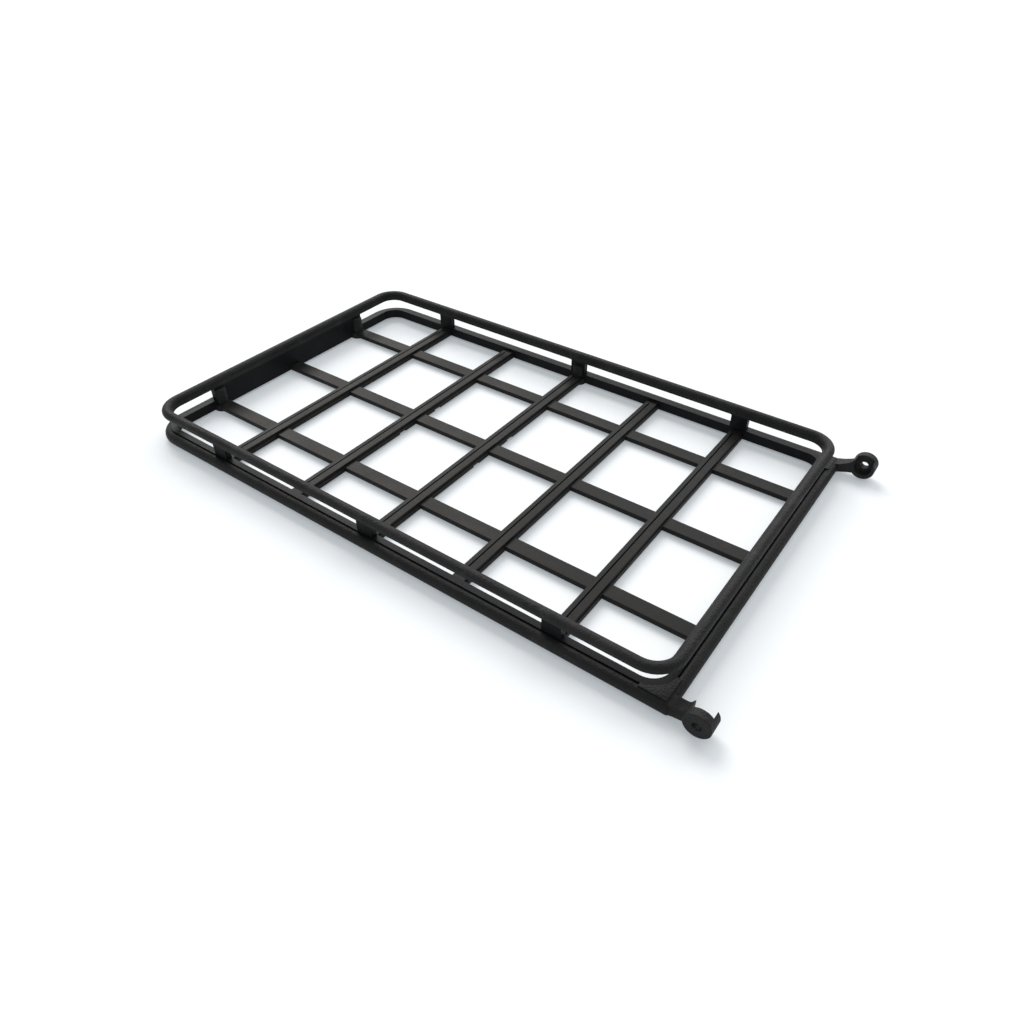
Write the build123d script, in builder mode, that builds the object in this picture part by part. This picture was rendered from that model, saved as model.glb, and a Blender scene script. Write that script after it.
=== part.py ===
from build123d import *
import os

os.makedirs("parts", exist_ok=True)

# Folding luggage rack for a scale model vehicle.
# X runs along the rack towards the hinge ears, Y across it, Z up.
# The origin is the centre of the footprint, on the plane the feet rest on.

# Where the middle of the rack lies on X, so that the ears balance the footprint
rack_x = -6.775

# Top rail: a closed loop of round rod with a square lip under its inner half
rail_radius = 2.0
rail_half_length = 119.3
rail_half_width = 71.8
rail_bend = 9.3
rail_height = 12.86
lip_bottom = 10.9

# Lower rod, bent into a U and closed by a straight rod at the hinge end
rod_radius = 2.25
rod_half_length = 120.6
rod_half_width = 73.4
end_rod_x = 121.0
rod_bend = 12.0
rod_height = 2.65
rod_stub = 122.6
rod_stub_round = 0.8

# Flat band standing inside the lower rod
band_half_length = 117.0
band_half_width = 69.7
band_bend = 7.0
band_thickness = 2.5
band_bottom = 1.05
band_top = 5.3

# Crossbars and slats that make the floor
crossbar_pitch = 40.0
crossbar_base_width = 6.1
crossbar_rib_width = 5.3
crossbar_top = 4.0
crossbar_edge = 0.25
groove_offset = -0.6
groove_width = 0.6
groove_depth = 0.8
groove_end_gap = 2.4
relief_length = 3.6
relief_depth = 0.6
relief_offset = 11.5
slat_pitch = 42.8
slat_width = 6.2
slat_bottom = band_bottom
slat_top = 2.96
slat_edge = 0.25

# Posts and wind panel between the band and the top rail
post_width = 7.3
post_flare = 0.6
wall_top = 12.0
panel_half_width = 45.6

# Upright bosses, each on a wider round foot that the rack rests on
boss_radius = 2.8
boss_round = 0.6
foot_radius = 4.0
foot_edge = 0.3
end_boss_x = -117.5
end_boss_top = 9.9
side_boss_y = 71.0
side_boss_top = 9.0

# Hinge ears: drilled discs, each with a U-shaped shroud open upwards
ear_x = 131.8
ear_height = 5.85
ear_radius = 4.6
ear_outer = 76.8
ear_inner = 73.8
ear_edge = 0.2
shroud_inner = 71.0
shroud_slot = 3.3
pivot_radius = 1.6

# Arms from the lower rod to the ears, narrowing on the inner side
arm_outer = 75.65
arm_inner = band_half_width
arm_round = 1.7
arm_root = 121.8
arm_taper_start = 123.2
arm_taper_end = 127.2
arm_underside = ((129.0, 2.6), (127.0, 2.15), (124.0, 1.7), (arm_root, 1.1), (arm_root, 4.9))
arm_back = ((arm_root, 4.9), (123.5, 5.35), (125.3, 6.1), (126.8, 6.85), (127.7, 7.9))
arm_end = ((127.7, 7.9), (129.0, 7.9), (129.0, 2.6))

sides = {"near": -1, "far": 1}


def level(height):
    return Plane((rack_x, 0, height))


def upright(y):
    return Plane((rack_x, y, 0), x_dir=(1, 0, 0), z_dir=(0, -1, 0))


def wall_inside(mode):
    RectangleRounded(2 * band_half_length, 2 * band_half_width, band_bend, mode=mode)


def wall_outside(mode):
    length = 2 * (band_half_length + band_thickness)
    width = 2 * (band_half_width + band_thickness)
    RectangleRounded(length, width, band_bend + band_thickness, mode=mode)


def save(builder, name):
    builder.part.label = name
    export_step(builder.part, f"parts/{name}.step")


# Top rail: half of the loop is swept, then mirrored about the middle of the rack
with BuildPart() as top_rail:
    with BuildLine(level(rail_height)):
        FilletPolyline(
            (0, -rail_half_width),
            (rail_half_length, -rail_half_width),
            (rail_half_length, rail_half_width),
            (0, rail_half_width),
            radius=rail_bend,
        )
    with BuildSketch(Plane((rack_x, -rail_half_width, rail_height), z_dir=(1, 0, 0))):
        Circle(rail_radius)
    sweep()
    mirror(about=Plane.YZ.offset(rack_x))
    with BuildSketch(level(lip_bottom)):
        RectangleRounded(2 * rail_half_length, 2 * rail_half_width, rail_bend)
        wall_inside(Mode.SUBTRACT)
    extrude(amount=rail_height - lip_bottom)
save(top_rail, "top_rail")


# Lower side rails: one rod bent into a U, open at the hinge end
with BuildPart() as side_rails:
    with BuildLine(level(rod_height)):
        FilletPolyline(
            (rod_stub, -rod_half_width),
            (-rod_half_length, -rod_half_width),
            (-rod_half_length, rod_half_width),
            (rod_stub, rod_half_width),
            radius=rod_bend,
        )
    with BuildSketch(Plane((rack_x + rod_stub, -rod_half_width, rod_height), z_dir=(-1, 0, 0))):
        Circle(rod_radius)
    sweep()
    fillet(side_rails.faces().sort_by(Axis.X)[-2:].edges(), rod_stub_round)
save(side_rails, "side_rails")


# Straight rod closing the U, coped where it meets the side rails
with BuildPart() as end_rod:
    with BuildSketch(Plane((rack_x + end_rod_x, 0, rod_height), z_dir=(0, 1, 0))):
        Circle(rod_radius)
    extrude(amount=rod_half_width, both=True)
    add(side_rails.part, mode=Mode.SUBTRACT)
save(end_rod, "end_rod")


# Flat band: a rounded rectangular ring, hollowed where the rods lie in it
with BuildPart() as band:
    with BuildSketch(level(band_bottom)):
        wall_outside(Mode.ADD)
        wall_inside(Mode.SUBTRACT)
    extrude(amount=band_top - band_bottom)
    add(side_rails.part, mode=Mode.SUBTRACT)
    add(end_rod.part, mode=Mode.SUBTRACT)
save(band, "band")


# Corner gussets at the hinge end, filling the square corner outside the band
gusset_size = band_bend + band_thickness
gussets = {}
for side, sign in sides.items():
    with BuildPart() as gusset:
        with BuildSketch(level(band_bottom)):
            with Locations((end_rod_x - gusset_size / 2, sign * (rod_half_width - gusset_size / 2))):
                Rectangle(gusset_size, gusset_size)
            wall_outside(Mode.SUBTRACT)
        extrude(amount=band_top - band_bottom)
        add(side_rails.part, mode=Mode.SUBTRACT)
        add(end_rod.part, mode=Mode.SUBTRACT)
    save(gusset, f"gusset_{side}")
    gussets[side] = gusset


# Posts: flat plates between the band and the top rail, flared where they meet its lip
half_post = post_width / 2
with BuildSketch() as post_face:
    with BuildLine():
        Polyline((0, band_top), (half_post, band_top), (half_post, lip_bottom - post_flare))
        JernArc((half_post, lip_bottom - post_flare), (0, 1), post_flare, -90)
        Polyline((half_post + post_flare, lip_bottom), (half_post + post_flare, wall_top), (0, wall_top))
        mirror(about=Plane.YZ)
    make_face()

for side, sign in sides.items():
    for number, bar in enumerate((1, 3, 5), start=1):
        with BuildPart() as post:
            with BuildSketch(upright(sign * (band_half_width + band_thickness / 2))):
                with Locations(((bar - 3) * crossbar_pitch, 0)):
                    add(post_face.sketch)
            extrude(amount=band_thickness / 2, both=True)
            add(top_rail.part, mode=Mode.SUBTRACT)
        save(post, f"post_{side}_{number}")


# Wind panel: upright plate across the end away from the hinge
with BuildPart() as wind_panel:
    with BuildSketch(level(band_top)):
        with Locations((-band_half_length - band_thickness / 2, 0)):
            Rectangle(band_thickness, 2 * panel_half_width)
    extrude(amount=wall_top - band_top)
    add(top_rail.part, mode=Mode.SUBTRACT)
save(wind_panel, "wind_panel")


# Bosses: half rounds standing against the inside of the band, each on a foot
# that reaches under the band and up to the tops of the slats
boss_places = {
    "end_near": (end_boss_x, -slat_pitch, end_boss_top),
    "end_far": (end_boss_x, slat_pitch, end_boss_top),
    "side_near": (0, -side_boss_y, side_boss_top),
    "side_far": (0, side_boss_y, side_boss_top),
}
bosses = []
for name, (x, y, top) in boss_places.items():
    with BuildPart() as boss:
        with BuildSketch(level(band_bottom)):
            with Locations((x, y)):
                Circle(boss_radius)
            wall_inside(Mode.INTERSECT)
        extrude(amount=top - band_bottom)
        fillet(boss.edges().group_by(Axis.Z)[-1].filter_by(GeomType.CIRCLE), boss_round)
        with BuildSketch(level(band_bottom)):
            with Locations((x, y)):
                Circle(foot_radius)
            wall_inside(Mode.INTERSECT)
        extrude(amount=slat_top - band_bottom)
        with BuildSketch(level(0)):
            with Locations((x, y)):
                Circle(foot_radius)
            wall_outside(Mode.INTERSECT)
        extrude(amount=band_bottom)
        chamfer(boss.edges().group_by(Axis.Z)[0], foot_edge)
        add(side_rails.part, mode=Mode.SUBTRACT)
    save(boss, f"boss_{name}")
    bosses.append(boss)


# Slats: three flat bars along the rack under the ribs of the crossbars
slats = []
for name, y in {"near": -slat_pitch, "middle": 0, "far": slat_pitch}.items():
    with BuildPart() as slat:
        with BuildSketch(level(slat_bottom)):
            with Locations((0, y)):
                Rectangle(2 * band_half_length, slat_width)
        extrude(amount=slat_top - slat_bottom)
        fillet(slat.edges().filter_by(Axis.X).group_by(Axis.Z)[-1], slat_edge)
        for boss in bosses:
            add(boss.part, mode=Mode.SUBTRACT)
    save(slat, f"slat_{name}")
    slats.append(slat)


# Crossbars: a base strip level with the slats under a grooved rib
for number in range(1, 6):
    x = (number - 3) * crossbar_pitch
    with BuildPart() as crossbar:
        with BuildSketch(level(slat_top)):
            with Locations((x, 0)):
                Rectangle(crossbar_rib_width, 2 * band_half_width)
        extrude(amount=crossbar_top - slat_top)
        fillet(crossbar.edges().filter_by(Axis.Y).group_by(Axis.Z)[-1], crossbar_edge)
        with BuildSketch(level(slat_bottom)):
            with Locations((x, 0)):
                Rectangle(crossbar_base_width, 2 * band_half_width)
        extrude(amount=slat_top - slat_bottom)
        with BuildSketch(level(crossbar_top)):
            with Locations((x + groove_offset, 0)):
                Rectangle(groove_width, 2 * (band_half_width - groove_end_gap))
        extrude(amount=-groove_depth, mode=Mode.SUBTRACT)
        if number in (2, 3):
            with BuildSketch(level(slat_bottom)):
                with Locations((x, -relief_offset), (x, relief_offset)):
                    Rectangle(crossbar_base_width, relief_length)
            extrude(amount=relief_depth, mode=Mode.SUBTRACT)
        for neighbour in slats + bosses:
            add(neighbour.part, mode=Mode.SUBTRACT)
    save(crossbar, f"crossbar_{number}")


# Hinge ears and arms
for side, sign in sides.items():
    with BuildPart() as ear:
        with BuildSketch(upright(sign * ear_outer)):
            with Locations((ear_x, ear_height)):
                Circle(ear_radius)
        extrude(amount=sign * (ear_outer - ear_inner))
        chamfer(ear.faces().sort_by(Axis((0, 0, 0), (0, sign, 0)))[-1].edges(), ear_edge)
        with BuildSketch(upright(sign * ear_inner)):
            with Locations((ear_x, ear_height)):
                Circle(ear_radius)
                Circle(shroud_slot, mode=Mode.SUBTRACT)
            with Locations((ear_x, ear_height + ear_radius / 2)):
                Rectangle(2 * shroud_slot, ear_radius, mode=Mode.SUBTRACT)
        extrude(amount=sign * (ear_inner - shroud_inner))
        with BuildSketch(upright(sign * ear_outer)):
            with Locations((ear_x, ear_height)):
                Circle(pivot_radius)
        extrude(amount=sign * (ear_outer - ear_inner), mode=Mode.SUBTRACT)
    save(ear, f"ear_{side}")

    with BuildPart() as arm:
        with BuildSketch(upright(sign * arm_outer)):
            with BuildLine():
                Polyline(*arm_underside)
                Spline(*arm_back)
                Polyline(*arm_end)
            make_face()
        extrude(amount=sign * (arm_outer - arm_inner))
        outside = arm.faces().sort_by(Axis((0, 0, 0), (0, sign, 0)))[-1]
        fillet(outside.edges().sort_by(Axis.X)[:-2], arm_round)
        with BuildSketch(level(0)):
            with BuildLine():
                Polyline(
                    (arm_taper_start, sign * arm_inner),
                    (arm_taper_end, sign * shroud_inner),
                    (ear_x, sign * shroud_inner),
                    (ear_x, sign * (arm_inner - 1)),
                    (arm_taper_start, sign * (arm_inner - 1)),
                    close=True,
                )
            make_face()
        extrude(amount=2 * ear_radius + ear_height, mode=Mode.SUBTRACT)
        with BuildSketch(upright(sign * ear_outer)):
            with Locations((ear_x, ear_height)):
                Circle(ear_radius)
        extrude(amount=sign * (ear_outer - arm_inner), mode=Mode.SUBTRACT)
        for neighbour in (side_rails, end_rod, band, gussets[side]):
            add(neighbour.part, mode=Mode.SUBTRACT)
    save(arm, f"arm_{side}")
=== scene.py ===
"""Folding luggage rack: finishes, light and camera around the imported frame."""

from math import radians

import bmesh
import bpy
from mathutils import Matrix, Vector

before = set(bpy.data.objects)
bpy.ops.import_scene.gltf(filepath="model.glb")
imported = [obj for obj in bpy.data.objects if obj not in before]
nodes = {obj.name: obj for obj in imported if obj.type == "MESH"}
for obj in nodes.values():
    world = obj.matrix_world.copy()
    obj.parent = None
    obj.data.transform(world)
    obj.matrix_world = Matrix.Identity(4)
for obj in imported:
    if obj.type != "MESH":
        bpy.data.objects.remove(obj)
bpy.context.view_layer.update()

MM = 0.001

# Camera: where it stands and looks, with its lens and sensor in millimetres
CAMERA_PLACE = Vector((159.31, -211.03, 191.34)) * MM
CAMERA_TARGET = Vector((30.39, -33.75, 8.0)) * MM
LENS = 27.57
SENSOR = 36.0
NEAREST = 10 * MM

# Floor: pale, matt and faintly self-lit, which keeps its shadows faint
FLOOR_SIZE = 40.0
FLOOR_WHITE = (0.60, 0.605, 0.61, 1.0)
FLOOR_PALER = (0.612, 0.6171, 0.6222, 1.0)
FLOOR_DRIFT = 3.0
FLOOR_DRIFT_DETAIL = 2.0
FLOOR_GLOW = (0.88, 0.95, 1.0, 1.0)
FLOOR_GLOW_STRENGTH = 0.29
FLOOR_ROUGHNESS = 0.7

# Light: an even sky, a wide key from beyond the far left corner, a wider and weaker rim from the far side
SKY_COLOUR = (0.94, 0.975, 1.0, 1.0)
SKY_STRENGTH = 0.60
KEY_FROM = Vector((-0.56, 0.40, 0.60))
KEY_SPREAD = radians(34.0)
KEY_STRENGTH = 2.5
KEY_COLOUR = (1.0, 0.975, 0.94)
RIM_FROM = Vector((-0.10, 0.80, 0.50))
RIM_SPREAD = radians(50.0)
RIM_STRENGTH = 1.5
RIM_COLOUR = (1.0, 1.0, 1.0)

# Moulded plastic: skin, scuffs, roughness and sheen of the floor bars, the walls and the rods. All three
# are one black plastic: the walls' skin and scuffs are darkened as painted shade, the rods' lightened as
# painted light
BARS_TONE = (0.0115, 0.0110, 0.0106, 1.0)
BARS_SCUFF = (0.030, 0.0285, 0.027, 1.0)
BARS_ROUGHNESS = 0.48
BARS_SHEEN = 0.078
# Walls: the same plastic, with tone and scuffs darkened as painted shade
WALL_TONE_PAINTED_SHADE = (0.0070, 0.0071, 0.0078, 1.0)
WALL_SCUFF_PAINTED_SHADE = (0.020, 0.020, 0.021, 1.0)
WALL_ROUGHNESS = 0.42
WALL_SHEEN = 0.06
# Rods: the same plastic, with tone and scuffs lightened as painted light
ROD_TONE_PAINTED_LIGHT = (0.0165, 0.0162, 0.0163, 1.0)
ROD_SCUFF_PAINTED_LIGHT = (0.046, 0.044, 0.043, 1.0)
ROD_ROUGHNESS = 0.52
ROD_SHEEN = 0.09

# Patterns in the plastic, per metre, and how finely each is broken up
PEBBLES = 1500.0
PEBBLE_BLEND = 0.6
SPECKS = 2600.0
SPECK_DETAIL = 2.0
CLOUDS = 38.0
CLOUD_DETAIL = 4.0
CLOUD_LIGHTENING = 1.4
SCUFFS = 120.0
SCUFF_DETAIL = 6.0
SCUFF_RAGGEDNESS = 0.7

# Levels of a pattern that are stretched to a reach
CLOUD_LEVELS = (0.35, 0.65)
SPECK_LEVELS = (0.35, 0.65)
SCUFF_LEVELS = (0.52, 0.72)
SKIN_LEVELS = (0.3, 0.7)
FULL_REACH = (0.0, 1.0)

# How far clouds and specks move the roughness
CLOUD_SMOOTHER = 0.05
CLOUD_ROUGHER = 0.07
SPECK_ROUGHNESS = 0.06

# Shares of pebbles and specks in the grain, its strength and its two depths
PEBBLE_SHARE = 0.7
SPECK_SHARE = 0.5
GRAIN_STRENGTH = 0.8
FINE_GRAIN = 0.045 * MM
COARSE_GRAIN = 0.32 * MM


# ---------------------------------------------------------------- finishes

class Finish:
    """A material's node tree, with short calls for the nodes these finishes use."""

    def __init__(self, name):
        self.material = bpy.data.materials.new(name)
        self.material.use_nodes = True
        self.tree = self.material.node_tree
        self.shader = self.tree.nodes["Principled BSDF"]
        self.place = self.node("ShaderNodeTexCoord").outputs["Object"]

    def node(self, kind, **settings):
        made = self.tree.nodes.new(kind)
        for key, value in settings.items():
            setattr(made, key, value)
        return made

    def link(self, source, target):
        self.tree.links.new(source, target)

    def fill(self, socket, value):
        """Put a number or a colour on a socket, or link another node's output to it."""
        if isinstance(value, (int, float, tuple)):
            socket.default_value = value
        else:
            self.link(value, socket)

    def noise(self, per_metre, detail, raggedness=0.55):
        made = self.node("ShaderNodeTexNoise")
        made.inputs["Scale"].default_value = per_metre
        made.inputs["Detail"].default_value = detail
        made.inputs["Roughness"].default_value = raggedness
        self.link(self.place, made.inputs["Vector"])
        return made.outputs["Fac"]

    def cells(self, per_metre):
        made = self.node("ShaderNodeTexVoronoi", feature="SMOOTH_F1")
        made.inputs["Scale"].default_value = per_metre
        made.inputs["Smoothness"].default_value = PEBBLE_BLEND
        self.link(self.place, made.inputs["Vector"])
        return made.outputs["Distance"]

    def math(self, operation, first, second):
        made = self.node("ShaderNodeMath", operation=operation)
        self.fill(made.inputs[0], first)
        self.fill(made.inputs[1], second)
        return made.outputs["Value"]

    def remap(self, value, levels, reach):
        """Stretch a pattern from its levels to a reach, and clip what falls outside."""
        made = self.node("ShaderNodeMapRange", clamp=True)
        self.link(value, made.inputs["Value"])
        made.inputs["From Min"].default_value = levels[0]
        made.inputs["From Max"].default_value = levels[1]
        made.inputs["To Min"].default_value = reach[0]
        made.inputs["To Max"].default_value = reach[1]
        return made.outputs["Result"]

    def blend(self, factor, first, second):
        made = self.node("ShaderNodeMix", data_type="RGBA")
        self.link(factor, made.inputs["Factor"])
        self.fill(made.inputs["A"], first)
        self.fill(made.inputs["B"], second)
        return made.outputs["Result"]

    def bump(self, height, distance, strength):
        made = self.node("ShaderNodeBump")
        made.inputs["Distance"].default_value = distance
        made.inputs["Strength"].default_value = strength
        self.link(height, made.inputs["Height"])
        return made.outputs["Normal"]


def lighten(tone, times):
    return tuple(times * channel for channel in tone[:3]) + (1.0,)


def moulded_black(name, tone, scuff, roughness, sheen, grain):
    """Grained black plastic: pebbled skin, faint mottling and slightly paler scuffed patches. The walls'
    copy carries painted shade and the rods' copy carries painted light in its tone and scuffs.
    """
    finish = Finish(name)
    pebble = finish.cells(PEBBLES)
    speck = finish.noise(SPECKS, SPECK_DETAIL)
    cloud = finish.noise(CLOUDS, CLOUD_DETAIL)
    scuffing = finish.noise(SCUFFS, SCUFF_DETAIL, SCUFF_RAGGEDNESS)

    clouded = finish.remap(cloud, CLOUD_LEVELS, FULL_REACH)
    mottled = finish.blend(clouded, tone, lighten(tone, CLOUD_LIGHTENING))
    rubbed = finish.remap(scuffing, SCUFF_LEVELS, FULL_REACH)
    worn = finish.math("MULTIPLY", rubbed, finish.remap(speck, SPECK_LEVELS, FULL_REACH))
    finish.link(finish.blend(worn, mottled, scuff), finish.shader.inputs["Base Color"])

    patchy = finish.remap(cloud, SKIN_LEVELS, (roughness - CLOUD_SMOOTHER, roughness + CLOUD_ROUGHER))
    specked = finish.remap(speck, SKIN_LEVELS, (-SPECK_ROUGHNESS, SPECK_ROUGHNESS))
    finish.link(finish.math("ADD", patchy, specked), finish.shader.inputs["Roughness"])

    height = finish.math(
        "ADD",
        finish.math("MULTIPLY", pebble, PEBBLE_SHARE),
        finish.math("MULTIPLY", speck, SPECK_SHARE),
    )
    finish.link(finish.bump(height, grain, GRAIN_STRENGTH), finish.shader.inputs["Normal"])
    finish.shader.inputs["Specular IOR Level"].default_value = sheen
    return finish.material


def floor_white():
    finish = Finish("floor_white")
    drift = finish.noise(FLOOR_DRIFT, FLOOR_DRIFT_DETAIL)
    finish.link(finish.blend(drift, FLOOR_WHITE, FLOOR_PALER), finish.shader.inputs["Base Color"])
    finish.shader.inputs["Emission Color"].default_value = FLOOR_GLOW
    finish.shader.inputs["Emission Strength"].default_value = FLOOR_GLOW_STRENGTH
    finish.shader.inputs["Roughness"].default_value = FLOOR_ROUGHNESS
    finish.shader.inputs["Specular IOR Level"].default_value = 0.0
    return finish.material


def dress(names, material):
    for name in names:
        mesh = nodes[name].data
        mesh.materials.clear()
        mesh.materials.append(material)


# ---------------------------------------------------------------- the rack

def dress_rack():
    bars = [name for name in nodes if name.startswith(("crossbar", "slat"))]
    walls = [name for name in nodes if name.startswith(("band", "post", "wind_panel"))]
    rods = [name for name in nodes if name not in bars + walls]
    dress(bars, moulded_black(
        "floor_bars_black", BARS_TONE, BARS_SCUFF, BARS_ROUGHNESS, BARS_SHEEN, FINE_GRAIN
    ))
    # Walls: a darker copy of the plastic, painted shade
    dress(walls, moulded_black(
        "walls_black_painted_shade", WALL_TONE_PAINTED_SHADE, WALL_SCUFF_PAINTED_SHADE, WALL_ROUGHNESS, WALL_SHEEN, FINE_GRAIN
    ))
    # Rods: a lighter copy of the plastic, painted light
    dress(rods, moulded_black(
        "rods_black_painted_light", ROD_TONE_PAINTED_LIGHT, ROD_SCUFF_PAINTED_LIGHT, ROD_ROUGHNESS, ROD_SHEEN, COARSE_GRAIN
    ))


# ---------------------------------------------------------------- floor, light and camera

def lay_floor():
    shape = bmesh.new()
    bmesh.ops.create_grid(shape, x_segments=1, y_segments=1, size=FLOOR_SIZE / 2)
    mesh = bpy.data.meshes.new("studio_floor")
    shape.to_mesh(mesh)
    shape.free()
    floor = bpy.data.objects.new("studio_floor", mesh)
    bpy.context.collection.objects.link(floor)
    mesh.materials.append(floor_white())


def aim(thing, place, target):
    """Stand a lamp or camera at a place, turned towards a target."""
    thing.location = place
    thing.rotation_euler = (target - place).to_track_quat("-Z", "Y").to_euler()
    bpy.context.collection.objects.link(thing)


def add_sun(name, place, spread, strength, colour):
    lamp = bpy.data.lights.new(name, "SUN")
    lamp.angle = spread
    lamp.energy = strength
    lamp.color = colour
    aim(bpy.data.objects.new(name, lamp), place, Vector((0.0, 0.0, 0.0)))


def light_studio():
    world = bpy.data.worlds.new("studio_sky")
    world.use_nodes = True
    sky = world.node_tree.nodes["Background"]
    sky.inputs["Color"].default_value = SKY_COLOUR
    sky.inputs["Strength"].default_value = SKY_STRENGTH
    bpy.context.scene.world = world
    add_sun("key_light", KEY_FROM, KEY_SPREAD, KEY_STRENGTH, KEY_COLOUR)
    add_sun("rim_light", RIM_FROM, RIM_SPREAD, RIM_STRENGTH, RIM_COLOUR)


def place_camera():
    eye = bpy.data.cameras.new("camera")
    eye.lens = LENS
    eye.sensor_width = SENSOR
    eye.clip_start = NEAREST
    camera = bpy.data.objects.new("camera", eye)
    aim(camera, CAMERA_PLACE, CAMERA_TARGET)
    bpy.context.scene.camera = camera


dress_rack()
lay_floor()
light_studio()
place_camera()
bpy.context.scene.view_settings.view_transform = "Standard"
